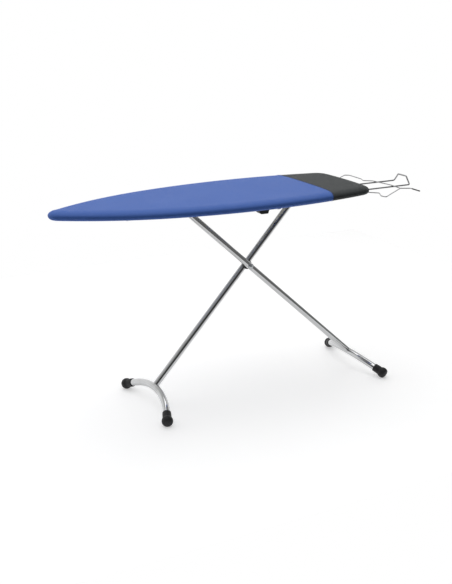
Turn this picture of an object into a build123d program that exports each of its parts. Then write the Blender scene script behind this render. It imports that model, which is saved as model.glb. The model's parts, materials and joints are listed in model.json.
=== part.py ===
"""Folding ironing board on a chromed scissor stand, with a wire iron rest.

Frame: +Z up, floor at Z = 0, +X towards the square end, Y = 0 in the board's middle plane,
X = 0 half way between the nose and the iron rest's far end. Millimetres.
"""

from math import asin, acos, cos, sin, radians, degrees, hypot
import os

from build123d import *

os.makedirs("parts", exist_ok=True)

# ---------------------------------------------------------------- driving dimensions
TOP_Z = 800.0                 # ironing surface above the floor, legs set at the lowest height
THICK = 28.0                  # padded board, edge fully rounded
OVERALL = 1518.0              # nose to the tip of the iron rest
REST_REACH = 270.0            # iron rest beyond the square end

# Plan outline: arcs of these radii, with the heading (degrees from +X) where each one starts.
NOSE_R, NOSE_HEADING = 43.0, 90.0
FLANK_R, FLANK_HEADING = 1152.0, 32.5
SIDE_R, SIDE_HEADING = 1905.0, 11.1
CORNER_R, CORNER_HEADING = 67.0, -12.3
END_HEADING = -85.2

SEAM_FROM_END = 205.0         # heat-resistant zone at the square end
COVER = 1.5                   # cover cloth
PAD = 5.8                     # felt
SHEET = 1.2                   # steel top
RIM_R = 8.5                   # rim tube
RIM_WALL = 1.2
RIM_INSET = 12.0              # rim tube's axis inside the outline
LIP_INSET = 38.0              # cover turned under the edge, up to here
HEM_WIDTH = 22.0

STRUT_W, STRUT_H = 36.0, 8.0
STRUT_WALL = 1.2
STRUT_END_GAP = 22.0          # strut's end inside the outline

# Scissor stand, seen along Y.
CROSS_X, CROSS_Z = 24.6, 506.5    # bolt where the legs cross
AXIS_Z = 767.0                    # upper pivots
REAR_ANGLE = 47.8                 # leg from the square end down to the nose-side foot
FRONT_ANGLE = 42.4                # leg from the nose side down to the square-end foot
LEG_R, LEG_WALL = 12.5, 1.5
LEG_Y = 15.0                      # leg axes each side of the middle
LEG_PAST_AXIS = 8.0               # tube beyond its upper cross shaft
SHAFT_R = 6.0
BOLT_R = 4.0                      # crossing bolt
FIT = 0.05                        # radial running clearance

FOOT_R, FOOT_WALL = 14.0, 1.5
FOOT_SPAN = 195.0                 # middle to cap
FOOT_TURN = 30.0                  # bar's ends turned down from Y
FOOT_STRAIGHT = 40.0              # straight end under the cap
CAP_R = 21.5
CAP_SLEEVE_R = 17.2
CAP_FRONT = 13.0
CAP_CROWN = 4.4
CAP_BACK = 40.0
CAP_WEAR = 0.8                    # flat worn on the ball

RAIL_Y = 62.0                     # rail's outer face
RAIL_W, RAIL_H, RAIL_WALL = 16.0, 31.3, 1.2
RAIL_FROM, RAIL_TO = -496.0, -110.0
ROLLER_R, ROLLER_W = 11.0, 10.0

RAISED_SLIDE = 91.8               # sliding shaft's travel to the highest height
NOTCH_COUNT = 5                   # heights, the first one with the legs as modelled
NOTCH_W = 14.0
TOOTH_Z, ROOT_Z, WEB_Z = 768.5, 776.8, 780.8
LATCH_X, LATCH_Z = -1.4, 772.0
LATCH_Y, LATCH_T = -36.0, 3.0
LATCH_HORN = 34.0
LEVER_X, LEVER_Z = 73.6, 757.0
LEVER_HORN = 9.2
LINK_Y, LINK_T = -46.0, 3.0

LOOP_R, LOOP_Z = 3.0, 760.0
LOOP_Y, LOOP_TOP_Y, LOOP_RISE = 51.0, 26.0, 31.0
WIRE_R, WIRE_Z = 2.0, 765.0

BOTTOM_Z = TOP_Z - THICK
SHEET_TOP = TOP_Z - COVER - 0.2 - PAD
SHEET_Z = SHEET_TOP - SHEET
STRUT_Z = SHEET_Z - STRUT_H
END_X = OVERALL / 2 - REST_REACH


# ---------------------------------------------------------------- helpers
def outline_arcs():
    """Half outline as (centre x, centre y, radius, first heading, last heading).

    It starts at the nose and is then moved so that the square end's middle is at END_X.
    """
    x, y = 0.0, 0.0
    arcs = []
    legs = [(NOSE_R, NOSE_HEADING, FLANK_HEADING), (FLANK_R, FLANK_HEADING, SIDE_HEADING),
            (SIDE_R, SIDE_HEADING, CORNER_HEADING), (CORNER_R, CORNER_HEADING, END_HEADING)]
    for radius, first, last in legs:
        cx = x + radius * sin(radians(first))
        cy = y - radius * cos(radians(first))
        arcs.append((cx, cy, radius, first, last))
        x = cx - radius * sin(radians(last))
        y = cy + radius * cos(radians(last))
    radius = y / cos(radians(END_HEADING))
    cx = x + radius * sin(radians(END_HEADING))
    arcs.append((cx, 0.0, radius, END_HEADING, -90.0))
    shift = END_X - (cx + radius)
    return [(cx + shift, cy, r, first, last) for cx, cy, r, first, last in arcs]


ARCS = outline_arcs()


def outline(inset):
    """Closed plan outline, drawn parallel to the board's edge at a distance inside it."""
    with BuildSketch() as plan:
        with BuildLine():
            for cx, cy, r, first, last in ARCS:
                r = r - inset
                if r < 1:
                    continue
                if inset >= NOSE_R and first == FLANK_HEADING:
                    first = degrees(acos(-cy / r))
                ends = []
                for heading in (first, (first + last) / 2, last):
                    a = radians(heading)
                    ends.append((cx - r * sin(a), cy + r * cos(a)))
                ThreePointArc(*ends)
                ThreePointArc(*[(px, -py) for px, py in ends])
        make_face()
    return plan.sketch


def half_width(x):
    """Half width of the board at x."""
    for cx, cy, r, first, last in ARCS:
        if cx - r * sin(radians(first)) <= x <= cx - r * sin(radians(last)):
            return cy + r * cos(asin((cx - x) / r))
    return 0.0


def plate(inset, low, thick):
    """Flat board-shaped sheet."""
    with BuildPart() as sheet:
        with BuildSketch(Plane.XY.offset(low)):
            add(outline(inset))
        extrude(amount=thick)
    return sheet


def across(x, z, y=0.0):
    """Plane whose normal runs along +Y, through (x, y, z), with its own x along +X."""
    return Plane(origin=(x, y, z), x_dir=(1, 0, 0), z_dir=(0, 1, 0))


def rod_y(x, z, y_from, y_to, radius):
    """Round rod along Y."""
    with BuildPart() as rod:
        with BuildSketch(across(x, z, y_from)):
            Circle(radius)
        extrude(amount=y_to - y_from)
    return rod.part


def dome(radius, height, start):
    """Middle and end of a spherical end arc, drawn along +X from (start, radius) to the axis."""
    ball = (radius**2 + height**2) / (2 * height)
    half = asin(radius / ball) / 2
    return (start + height - ball + ball * cos(half), ball * sin(half)), (start + height, 0)


def keep(builder, name):
    """Label a finished piece and write it."""
    piece = builder.part
    piece.label = name
    export_step(piece, f"parts/{name}.step")
    print(f"{name:20s} {piece.volume / 1000:9.2f} cm3")
    return piece


# ---------------------------------------------------------------- board: soft top
def rounded_board(inset, radius):
    """Board-shaped block with both edges rounded."""
    with BuildPart() as block:
        with BuildSketch(Plane.XY.offset(BOTTOM_Z + inset)):
            add(outline(inset))
        extrude(amount=THICK - 2 * inset)
        fillet(block.edges().group_by(Axis.Z)[0], radius)
        fillet(block.edges().group_by(Axis.Z)[-1], radius)
    return block.part


EDGE_R = THICK / 2 - 0.1
cover_outside = rounded_board(0, EDGE_R)
cover_inside = rounded_board(COVER, EDGE_R - COVER)
seam_plane = Plane(origin=(END_X - SEAM_FROM_END, 0, 0), x_dir=(0, 1, 0), z_dir=(1, 0, 0))


def cover(side):
    """Cover skin on one side of the cross seam."""
    with BuildPart() as skin:
        add(cover_outside)
        add(cover_inside, mode=Mode.SUBTRACT)
        with BuildSketch(Plane.XY.offset(BOTTOM_Z - 1)):
            add(outline(LIP_INSET))
        extrude(amount=COVER + 2, mode=Mode.SUBTRACT)
        split(bisect_by=seam_plane, keep=side)
    return skin


keep(cover(Keep.BOTTOM), "cover_blue")
keep(cover(Keep.TOP), "cover_charcoal")

with BuildPart() as cover_hem:
    with BuildSketch(Plane.XY.offset(BOTTOM_Z - 0.8)):
        add(outline(LIP_INSET + 0.2))
        add(outline(LIP_INSET + HEM_WIDTH), mode=Mode.SUBTRACT)
    extrude(amount=3.0)
keep(cover_hem, "cover_hem")

with BuildPart() as felt_pad:
    add(plate(9.0, SHEET_TOP, PAD).part)
    fillet(felt_pad.edges().group_by(Axis.Z)[-1], PAD - 0.4)
keep(felt_pad, "felt_pad")

# ---------------------------------------------------------------- board: steel
keep(plate(5.0, SHEET_Z, SHEET), "steel_top")

RIM_Z = SHEET_Z - RIM_R


def rim_half(side):
    """Half of the rim tube, from the nose to the middle of the square end."""
    with BuildPart() as tube:
        with BuildLine() as path:
            for cx, cy, r, first, last in ARCS:
                r = r - RIM_INSET
                ends = []
                for heading in (first, (first + last) / 2, last):
                    a = radians(heading)
                    ends.append((cx - r * sin(a), side * (cy + r * cos(a)), RIM_Z))
                ThreePointArc(*ends)
        with BuildSketch(Plane(origin=path.line @ 0, z_dir=path.line % 0)):
            Circle(RIM_R)
            Circle(RIM_R - RIM_WALL, mode=Mode.SUBTRACT)
        sweep()
    return tube


keep(rim_half(-1), "rim_tube_near")
keep(rim_half(1), "rim_tube_far")


def strut(x):
    """Square steel tube across the underside of the steel top."""
    reach = min(half_width(x - STRUT_W / 2), half_width(x + STRUT_W / 2)) - STRUT_END_GAP
    with BuildPart() as tube:
        with BuildSketch(across(x, STRUT_Z + STRUT_H / 2)):
            RectangleRounded(STRUT_W, STRUT_H, 2.0)
            RectangleRounded(STRUT_W - 2 * STRUT_WALL, STRUT_H - 2 * STRUT_WALL, 0.8,
                             mode=Mode.SUBTRACT)
        extrude(amount=reach, both=True)
    return tube


REAR_ARM = (AXIS_Z - CROSS_Z) / sin(radians(REAR_ANGLE))
FRONT_ARM = (AXIS_Z - CROSS_Z) / sin(radians(FRONT_ANGLE))
HINGE_X = CROSS_X + REAR_ARM * cos(radians(REAR_ANGLE))
SLIDER_X = CROSS_X - FRONT_ARM * cos(radians(FRONT_ANGLE))

STRUT_NOSE_X = RAIL_FROM + 8
STRUT_MIDDLE_X = RAIL_TO - 18
STRUT_END_X = END_X - 85
keep(strut(STRUT_NOSE_X), "strut_nose")
keep(strut(STRUT_MIDDLE_X), "strut_middle")
keep(strut(HINGE_X), "strut_hinge")
keep(strut(STRUT_END_X), "strut_end")


def rail(side):
    """C-section rail for one end of the sliding shaft, open towards the middle."""
    with BuildPart() as channel:
        with BuildSketch(Plane(origin=(RAIL_FROM, 0, STRUT_Z - RAIL_H), x_dir=(0, 1, 0),
                               z_dir=(1, 0, 0))):
            with BuildLine():
                outer, inner = side * RAIL_Y, side * (RAIL_Y - RAIL_W)
                wall = side * RAIL_WALL
                Polyline((inner, 0), (outer, 0), (outer, RAIL_H), (inner, RAIL_H),
                         (inner, RAIL_H - RAIL_WALL), (outer - wall, RAIL_H - RAIL_WALL),
                         (outer - wall, RAIL_WALL), (inner, RAIL_WALL), close=True)
            make_face()
        extrude(amount=RAIL_TO - RAIL_FROM)
        outer_edges = [e for e in channel.edges().filter_by(Axis.X)
                       if abs(abs(e.center().Y) - RAIL_Y) < 0.01]
        fillet(outer_edges, 2.0)
    return channel


keep(rail(-1), "rail_near")
keep(rail(1), "rail_far")


def pan_screws(name, spots, head_r=4.2, head_h=1.8, shank_r=2.0, shank=4.0):
    """Pan-head screws pointing up, heads under the given (x, y, z) points."""
    with BuildPart() as group:
        for x, y, z in spots:
            with BuildSketch(Plane(origin=(x, y, z), x_dir=(1, 0, 0), z_dir=(0, 0, -1))):
                Circle(head_r)
            extrude(amount=head_h)
        fillet(group.edges().group_by(Axis.Z)[0], 0.9)
    return group


RAIL_SCREW_Y = RAIL_Y - RAIL_W / 2
rail_spots = [(x, y, STRUT_Z - RAIL_WALL) for x in (STRUT_NOSE_X, STRUT_MIDDLE_X)
              for y in (-RAIL_SCREW_Y, RAIL_SCREW_Y)]
keep(pan_screws("rail_screws", rail_spots), "rail_screws")


# ---------------------------------------------------------------- fixed hinge of the rear leg
HINGE_BRACKET_Y = 52.0
HINGE_BRACKET_T = 3.0
EAR_HALF, EAR_TAB, EAR_SHOULDER, EAR_LOW = 26.0, 5.0, 14.0, 15.0


def hinge_bracket(side):
    """Plate hanging from the hinge strut, with the hole that the leg's shaft turns in."""
    with BuildPart() as ear:
        with BuildSketch(across(HINGE_X, AXIS_Z, side * HINGE_BRACKET_Y)):
            with BuildLine():
                top = STRUT_Z - AXIS_Z
                Polyline((-EAR_SHOULDER, 8), (-EAR_HALF, EAR_TAB - top), (-EAR_HALF, -top),
                         (EAR_HALF, -top), (EAR_HALF, EAR_TAB - top), (EAR_SHOULDER, 8))
                ThreePointArc((EAR_SHOULDER, 8), (0, EAR_LOW), (-EAR_SHOULDER, 8))
            make_face()
            Circle(SHAFT_R + FIT, mode=Mode.SUBTRACT)
        extrude(amount=HINGE_BRACKET_T / 2, both=True)
    return ear


keep(hinge_bracket(-1), "hinge_bracket_near")
keep(hinge_bracket(1), "hinge_bracket_far")


# ---------------------------------------------------------------- legs
def leg_tube(angle, toward, y, arm):
    """Straight leg from above its cross shaft down to its foot bar.

    toward is -1 for a leg whose foot is on the nose side and 1 for the other one.
    """
    down = Vector(toward * cos(radians(angle)), 0, -sin(radians(angle)))
    top = Vector(CROSS_X, y, CROSS_Z) - down * (arm + LEG_PAST_AXIS)
    length = arm + LEG_PAST_AXIS + foot_distance(angle)
    with BuildPart() as tube:
        with BuildSketch(Plane(origin=top, x_dir=(0, 1, 0), z_dir=down)):
            Circle(LEG_R)
            Circle(LEG_R - LEG_WALL, mode=Mode.SUBTRACT)
        extrude(amount=length)
        add(rod_y(CROSS_X, CROSS_Z, y - 20, y + 20, BOLT_R + FIT), mode=Mode.SUBTRACT)
        shaft_at = Vector(CROSS_X, y, CROSS_Z) - down * arm
        add(rod_y(shaft_at.X, shaft_at.Z, y - 20, y + 20, SHAFT_R), mode=Mode.SUBTRACT)
        add(foot_solid(angle, toward), mode=Mode.SUBTRACT)
    return tube


def foot_rise():
    """How far the middle of a foot bar stands above its caps, along the leg."""
    turn = radians(FOOT_TURN)
    radius = (FOOT_SPAN - FOOT_STRAIGHT * cos(turn)) / sin(turn)
    return radius, radius * (1 - cos(turn)) + FOOT_STRAIGHT * sin(turn)


def foot_distance(angle):
    """Distance along the leg from the crossing bolt to the middle of the foot bar."""
    radius, rise = foot_rise()
    return (CROSS_Z - CAP_R + CAP_WEAR) / sin(radians(angle)) - rise


def foot_plane(angle, toward):
    """Plane of a foot bar: own x along Y, own y up the leg, origin at the bar's middle."""
    down = Vector(toward * cos(radians(angle)), 0, -sin(radians(angle)))
    middle = Vector(CROSS_X, 0, CROSS_Z) + down * foot_distance(angle)
    return Plane(origin=middle, x_dir=(0, 1, 0), z_dir=Vector(0, 1, 0).cross(down * -1))


def foot_path(plane, cut):
    """Middle line of a foot bar, with its straight ends shortened by cut."""
    turn = radians(FOOT_TURN)
    radius, rise = foot_rise()
    with BuildLine(plane) as path:
        bow = CenterArc((0, -radius), radius, 90 + FOOT_TURN, -2 * FOOT_TURN)
        for end in (bow @ 0, bow @ 1):
            local = plane.to_local_coords(end)
            side = 1 if local.X > 0 else -1
            step = FOOT_STRAIGHT - cut
            Line((local.X, local.Y), (local.X + side * step * cos(turn), local.Y - step * sin(turn)))
    return path.wires()[0]


def foot_sweep(plane, cut, wall):
    """Foot bar as a tube, or as a solid rod when wall is 0."""
    path = foot_path(plane, cut)
    with BuildPart() as bar:
        with BuildSketch(Plane(origin=path @ 0, z_dir=path % 0)):
            Circle(FOOT_R)
            if wall:
                Circle(FOOT_R - wall, mode=Mode.SUBTRACT)
        sweep(path=path)
    return bar


def foot_solid(angle, toward):
    return foot_sweep(foot_plane(angle, toward), 10.0, 0).part


def foot_cap(angle, toward, side):
    """Rubber cap: a sleeve on the bar's end that flares into a ball, worn flat at the floor."""
    plane = foot_plane(angle, toward)
    turn = radians(FOOT_TURN)
    radius, rise = foot_rise()
    centre = plane.from_local_coords((side * FOOT_SPAN, -rise, 0))
    axis_dir = (plane.x_dir * side) * cos(turn) - plane.y_dir * sin(turn)
    neck = (CAP_R**2 - CAP_SLEEVE_R**2) ** 0.5
    nose_r = (CAP_R**2 - CAP_FRONT**2) ** 0.5
    with BuildPart() as cap:
        with BuildSketch(Plane(origin=centre, x_dir=axis_dir, z_dir=plane.z_dir)):
            with BuildLine():
                Line((-CAP_BACK, 0), (-CAP_BACK, CAP_SLEEVE_R - 0.8))
                Line((-CAP_BACK, CAP_SLEEVE_R - 0.8), (-neck, CAP_SLEEVE_R))
                ThreePointArc((-neck, CAP_SLEEVE_R), (0, CAP_R), (CAP_FRONT, nose_r))
                ThreePointArc((CAP_FRONT, nose_r), *dome(nose_r, CAP_CROWN, CAP_FRONT))
                Line((CAP_FRONT + CAP_CROWN, 0), (-CAP_BACK, 0))
            make_face()
        revolve(axis=Axis(centre, axis_dir))
        with BuildSketch(Plane(origin=centre - axis_dir * CAP_BACK, z_dir=axis_dir)):
            Circle(FOOT_R)
        extrude(amount=CAP_BACK - 6.0, mode=Mode.SUBTRACT)
        below = 4 * CAP_R
        with Locations((centre.X, centre.Y, -below / 2)):
            Box(below, below, below, mode=Mode.SUBTRACT)
    return cap


keep(leg_tube(REAR_ANGLE, -1, LEG_Y, REAR_ARM), "rear_leg")
keep(foot_sweep(foot_plane(REAR_ANGLE, -1), 6.0, FOOT_WALL), "rear_foot_bar")
keep(foot_cap(REAR_ANGLE, -1, -1), "rear_cap_near")
keep(foot_cap(REAR_ANGLE, -1, 1), "rear_cap_far")
keep(leg_tube(FRONT_ANGLE, 1, -LEG_Y, FRONT_ARM), "front_leg")
keep(foot_sweep(foot_plane(FRONT_ANGLE, 1), 6.0, FOOT_WALL), "front_foot_bar")
keep(foot_cap(FRONT_ANGLE, 1, -1), "front_cap_near")
keep(foot_cap(FRONT_ANGLE, 1, 1), "front_cap_far")


def cross_shaft(x, reach):
    """Cross shaft welded through the top of a leg."""
    with BuildPart() as shaft:
        add(rod_y(x, AXIS_Z, -reach, reach, SHAFT_R))
        chamfer(shaft.edges().group_by(Axis.Y)[0] + shaft.edges().group_by(Axis.Y)[-1], 0.8)
    return shaft


HINGE_REACH = 62.0
SLIDER_REACH = 60.0
keep(cross_shaft(HINGE_X, HINGE_REACH), "hinge_shaft")
keep(cross_shaft(SLIDER_X, SLIDER_REACH), "slider_shaft")

with BuildPart() as hinge_end_caps:
    for side in (-1, 1):
        with BuildSketch(across(HINGE_X, AXIS_Z, side * (HINGE_BRACKET_Y + 2.5))):
            Circle(11.0)
        extrude(amount=side * 12.0)
        fillet(hinge_end_caps.edges().group_by(Axis.Y)[0 if side < 0 else -1], 3.0)
    add(rod_y(HINGE_X, AXIS_Z, -HINGE_REACH, HINGE_REACH, SHAFT_R), mode=Mode.SUBTRACT)
keep(hinge_end_caps, "hinge_end_caps")


def roller(side):
    """Nylon roller on one end of the sliding shaft."""
    with BuildPart() as wheel:
        with BuildSketch(across(SLIDER_X, AXIS_Z, side * (RAIL_Y - RAIL_WALL - 1.5))):
            Circle(ROLLER_R)
        extrude(amount=-side * ROLLER_W)
        fillet(wheel.edges().filter_by(GeomType.CIRCLE), 1.5)
        add(rod_y(SLIDER_X, AXIS_Z, -SLIDER_REACH, SLIDER_REACH, SHAFT_R), mode=Mode.SUBTRACT)
    return wheel


keep(roller(-1), "slider_roller_near")
keep(roller(1), "slider_roller_far")

# ---------------------------------------------------------------- crossing bolt
NEAR_FACE = -(LEG_Y + LEG_R)
HEAD_R = 9.0
with BuildPart() as cross_bolt:
    with BuildSketch(Plane(origin=(CROSS_X, NEAR_FACE - 1.8, CROSS_Z), x_dir=(0, -1, 0),
                           z_dir=(0, 0, 1))):
        with BuildLine():
            end = 2 * NEAR_FACE - 10.8
            Polyline((end, 0), (end, BOLT_R), (0, BOLT_R), (0, HEAD_R), (1.2, HEAD_R))
            ThreePointArc((1.2, HEAD_R), *dome(HEAD_R, 5.0, 1.2))
            Line((6.2, 0), (end, 0))
        make_face()
    revolve(axis=Axis((CROSS_X, 0, CROSS_Z), (0, 1, 0)))
keep(cross_bolt, "cross_bolt")

with BuildPart() as cross_washer:
    with BuildSketch(across(CROSS_X, CROSS_Z, NEAR_FACE - 1.8)):
        Circle(11.0)
        Circle(BOLT_R, mode=Mode.SUBTRACT)
    extrude(amount=1.4)
keep(cross_washer, "cross_washer")

with BuildPart() as cross_nut:
    with BuildSketch(across(CROSS_X, CROSS_Z, -NEAR_FACE + 0.1)):
        RegularPolygon(7.5, 6)
    extrude(amount=6.5)
    with BuildSketch(across(CROSS_X, CROSS_Z, -NEAR_FACE + 6.6)):
        Circle(6.2)
    extrude(amount=5.0)
    fillet(cross_nut.edges().group_by(Axis.Y)[-1], 3.5)
    add(rod_y(CROSS_X, CROSS_Z, 0, -NEAR_FACE + 9.0, BOLT_R), mode=Mode.SUBTRACT)
keep(cross_nut, "cross_nut")

with BuildPart() as cross_spacer:
    with BuildSketch(across(CROSS_X, CROSS_Z, -2.2)):
        Circle(18.0)
    extrude(amount=11.0)
    down = Vector(-cos(radians(REAR_ANGLE)), 0, -sin(radians(REAR_ANGLE)))
    with BuildSketch(Plane(origin=Vector(CROSS_X, LEG_Y, CROSS_Z) - down * 60,
                           x_dir=(0, 1, 0), z_dir=down)):
        Circle(LEG_R)
    extrude(amount=120, mode=Mode.SUBTRACT)
    add(rod_y(CROSS_X, CROSS_Z, -4, 20, BOLT_R), mode=Mode.SUBTRACT)
keep(cross_spacer, "cross_spacer")

# ---------------------------------------------------------------- height latch
NOTCH_PITCH = RAISED_SLIDE / (NOTCH_COUNT - 1)
FIRST_NOTCH_X = SLIDER_X + RAISED_SLIDE
PIN_R = 3.0

with BuildPart() as latch_plate:
    nose_x = SLIDER_X - NOTCH_W / 2 - 6.0
    with BuildSketch(across(0, 0, LATCH_Y - LATCH_T / 2)):
        with BuildLine():
            Polyline((nose_x, -TOOTH_Z), (nose_x, -WEB_Z + 3), (nose_x + 4, -WEB_Z),
                     (FIRST_NOTCH_X + 9, -WEB_Z), (FIRST_NOTCH_X + 16, -WEB_Z + 4.5),
                     (LATCH_X + 5, -WEB_Z + 1.5), (LATCH_X + 9, -LATCH_Z),
                     (LATCH_X + 7, -LATCH_Z + LATCH_HORN + 6),
                     (LATCH_X - 7, -LATCH_Z + LATCH_HORN + 6),
                     (LATCH_X - 9, -LATCH_Z + 9), (FIRST_NOTCH_X + 30, -TOOTH_Z + 6),
                     (FIRST_NOTCH_X + 18, -TOOTH_Z), close=True)
        make_face()
        for index in range(NOTCH_COUNT):
            x = FIRST_NOTCH_X - index * NOTCH_PITCH
            with Locations((x, -ROOT_Z + NOTCH_W / 2)):
                Circle(NOTCH_W / 2, mode=Mode.SUBTRACT)
            with Locations((x, -ROOT_Z + NOTCH_W)):
                Rectangle(NOTCH_W, NOTCH_W, mode=Mode.SUBTRACT)
        with Locations((LATCH_X, -LATCH_Z)):
            Circle(PIN_R + FIT, mode=Mode.SUBTRACT)
    extrude(amount=LATCH_T)
    add(rod_y(LATCH_X, LATCH_Z - LATCH_HORN, LINK_Y - 3.5, LATCH_Y, 2.5))
keep(latch_plate, "latch_plate")


def pin_y(x, z, y_from, y_to):
    """Headed pin along Y."""
    with BuildPart() as pin:
        add(rod_y(x, z, y_from, y_to, PIN_R))
        add(rod_y(x, z, y_from - 2.0, y_from, PIN_R + 2.0))
        add(rod_y(x, z, y_to, y_to + 1.0, PIN_R + 1.2))
    return pin


LATCH_CHEEK_Y = (LATCH_Y - 5.0, LATCH_Y + 5.0)
with BuildPart() as latch_bracket:
    for y in LATCH_CHEEK_Y:
        with BuildSketch(across(0, 0, y - 1.0)):
            with BuildLine():
                Polyline((LATCH_X - 14, -SHEET_Z), (LATCH_X + 14, -SHEET_Z),
                         (LATCH_X + 7, -LATCH_Z + 6), (LATCH_X - 7, -LATCH_Z + 6), close=True)
            make_face()
            with Locations((LATCH_X, -LATCH_Z)):
                Circle(PIN_R, mode=Mode.SUBTRACT)
        extrude(amount=2.0)
    with BuildSketch(Plane.XY.offset(SHEET_Z - 2.0)):
        with Locations((LATCH_X, LATCH_Y)):
            Rectangle(28.0, 10.0)
    extrude(amount=2.0)
keep(latch_bracket, "latch_bracket")
keep(pin_y(LATCH_X, LATCH_Z, LATCH_CHEEK_Y[0] - 1.0, LATCH_CHEEK_Y[1] + 1.0), "latch_pin")

SPRING_R, SPRING_WIRE = 5.2, 0.7
with BuildPart() as latch_spring:
    spring_start = Plane(origin=(LATCH_X, LATCH_CHEEK_Y[1] + 2.6, LATCH_Z), x_dir=(1, 0, 0),
                         z_dir=(0, 1, 0))
    with BuildLine():
        coil = Helix(pitch=1.9, height=7.6, radius=SPRING_R, center=spring_start.origin,
                     direction=(0, 1, 0))
    with BuildSketch(Plane(origin=coil @ 0, z_dir=coil % 0)):
        Circle(SPRING_WIRE)
    sweep(is_frenet=True)
keep(latch_spring, "latch_spring")

# ---------------------------------------------------------------- release lever and its link
LEVER_FROM, LEVER_TO = -146.0, -57.0
LEVER_ROD_R = 6.0
GRIP_W = 30.0                     # along Y
GRIP_NEAR, GRIP_FAR = 44.0, 80.0  # grip's two ends, from the lever's pin
GRIP_DROP = 18.0                  # how far it hangs below the pin

with BuildPart() as release_lever:
    add(rod_y(LEVER_X, LEVER_Z, LEVER_FROM, LEVER_TO + 6.0, LEVER_ROD_R))
    with BuildSketch(across(0, 0, LEVER_FROM)):
        with BuildLine():
            Polyline((LEVER_X - 1, -LEVER_Z - 5), (LEVER_X - 1, -LEVER_Z + 5),
                     (LEVER_X - GRIP_NEAR + 4, -LEVER_Z + 5),
                     (LEVER_X - GRIP_NEAR, -LEVER_Z + GRIP_DROP),
                     (LEVER_X - GRIP_FAR + 8, -LEVER_Z + GRIP_DROP),
                     (LEVER_X - GRIP_FAR, -LEVER_Z + GRIP_DROP - 6),
                     (LEVER_X - GRIP_FAR, -LEVER_Z + 1),
                     (LEVER_X - GRIP_NEAR + 4, -LEVER_Z - 2), close=True)
        make_face()
    extrude(amount=GRIP_W)
    with BuildSketch(across(0, 0, LEVER_TO)):
        with BuildLine():
            Polyline((LEVER_X - 7, -LEVER_Z), (LEVER_X + 7, -LEVER_Z),
                     (LEVER_X + 5, -LEVER_Z + LEVER_HORN + 5),
                     (LEVER_X - 5, -LEVER_Z + LEVER_HORN + 5), close=True)
        make_face()
    extrude(amount=6.0)
    add(rod_y(LEVER_X, LEVER_Z - LEVER_HORN, LEVER_TO + 6.0, LINK_Y + 3.5, 2.5))
    add(rod_y(LEVER_X, LEVER_Z, LEVER_FROM - 5, LINK_Y + 10, PIN_R + FIT), mode=Mode.SUBTRACT)
keep(release_lever, "release_lever")

CHEEK_OUT, CHEEK_IN = LEVER_FROM - 3.0, LINK_Y + 6.0
with BuildPart() as lever_bracket:
    for y in (CHEEK_OUT, CHEEK_IN):
        with BuildSketch(across(0, 0, y - 1.0)):
            with BuildLine():
                Polyline((LEVER_X - 12, -SHEET_Z), (LEVER_X + 12, -SHEET_Z),
                         (LEVER_X + 7, -LEVER_Z + 6), (LEVER_X - 7, -LEVER_Z + 6), close=True)
            make_face()
            with Locations((LEVER_X, -LEVER_Z)):
                Circle(PIN_R, mode=Mode.SUBTRACT)
        extrude(amount=2.0)
    with BuildSketch(Plane.XY.offset(SHEET_Z - 2.0)):
        with Locations((LEVER_X, (CHEEK_OUT + CHEEK_IN) / 2)):
            Rectangle(24.0, CHEEK_IN - CHEEK_OUT)
    extrude(amount=2.0)
keep(lever_bracket, "lever_bracket")
keep(pin_y(LEVER_X, LEVER_Z, CHEEK_OUT - 1.0, CHEEK_IN + 1.0), "lever_pin")

with BuildPart() as link_bar:
    low = (LATCH_X, -LATCH_Z + LATCH_HORN)
    high = (LEVER_X, -LEVER_Z + LEVER_HORN)
    slope = degrees(asin((high[1] - low[1]) / hypot(high[0] - low[0], high[1] - low[1])))
    with BuildSketch(across(0, 0, LINK_Y - LINK_T / 2)):
        with Locations(Location(((low[0] + high[0]) / 2, (low[1] + high[1]) / 2, 0), (0, 0, slope))):
            SlotCenterToCenter(hypot(high[0] - low[0], high[1] - low[1]), 10.0)
        with Locations(low, high):
            Circle(2.9, mode=Mode.SUBTRACT)
    extrude(amount=LINK_T)
keep(link_bar, "link_bar")


# ---------------------------------------------------------------- iron rest
def wire(points, radius, bend):
    """Round wire bent along points, each given as (beyond the square end, y, z)."""
    with BuildPart() as bent:
        with BuildLine() as path:
            FilletPolyline(*[(END_X + x, y, z) for x, y, z in points], radius=bend)
        with BuildSketch(Plane(origin=path.line @ 0, z_dir=path.line % 0)):
            Circle(radius)
        sweep()
    return bent


LOOP_BEND = REST_REACH - LOOP_R - 0.5
loop_points = [(-104, -LOOP_Y, LOOP_Z), (LOOP_BEND, -LOOP_Y, LOOP_Z),
               (LOOP_BEND, -LOOP_TOP_Y, LOOP_Z + LOOP_RISE),
               (LOOP_BEND, LOOP_TOP_Y, LOOP_Z + LOOP_RISE),
               (LOOP_BEND, LOOP_Y, LOOP_Z), (-104, LOOP_Y, LOOP_Z)]
keep(wire(loop_points, LOOP_R, 7.0), "rest_loop")

cross_points = [(-66, 51, WIRE_Z), (-28, 80, WIRE_Z), (96, 193, WIRE_Z), (132, 219, WIRE_Z),
                (149, 209, WIRE_Z), (146, 118, WIRE_Z), (133, 86, WIRE_Z), (164, 62, WIRE_Z),
                (178, -40, WIRE_Z), (172, -112, WIRE_Z), (208, -130, WIRE_Z),
                (206, -190, WIRE_Z)]
keep(wire(cross_points, WIRE_R, 6.0), "rest_cross_wire")

side_points = [(-66, -51, WIRE_Z), (-14, -86, WIRE_Z), (43, -145, WIRE_Z), (17, -192, WIRE_Z),
               (22, -217, WIRE_Z), (72, -181, WIRE_Z), (169, -114, WIRE_Z)]
keep(wire(side_points, WIRE_R, 6.0), "rest_side_wire")

CLIP_L, CLIP_W = 26.0, 34.0
clip_spots = [(STRUT_END_X, y) for y in (-LOOP_Y, LOOP_Y)]


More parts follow.
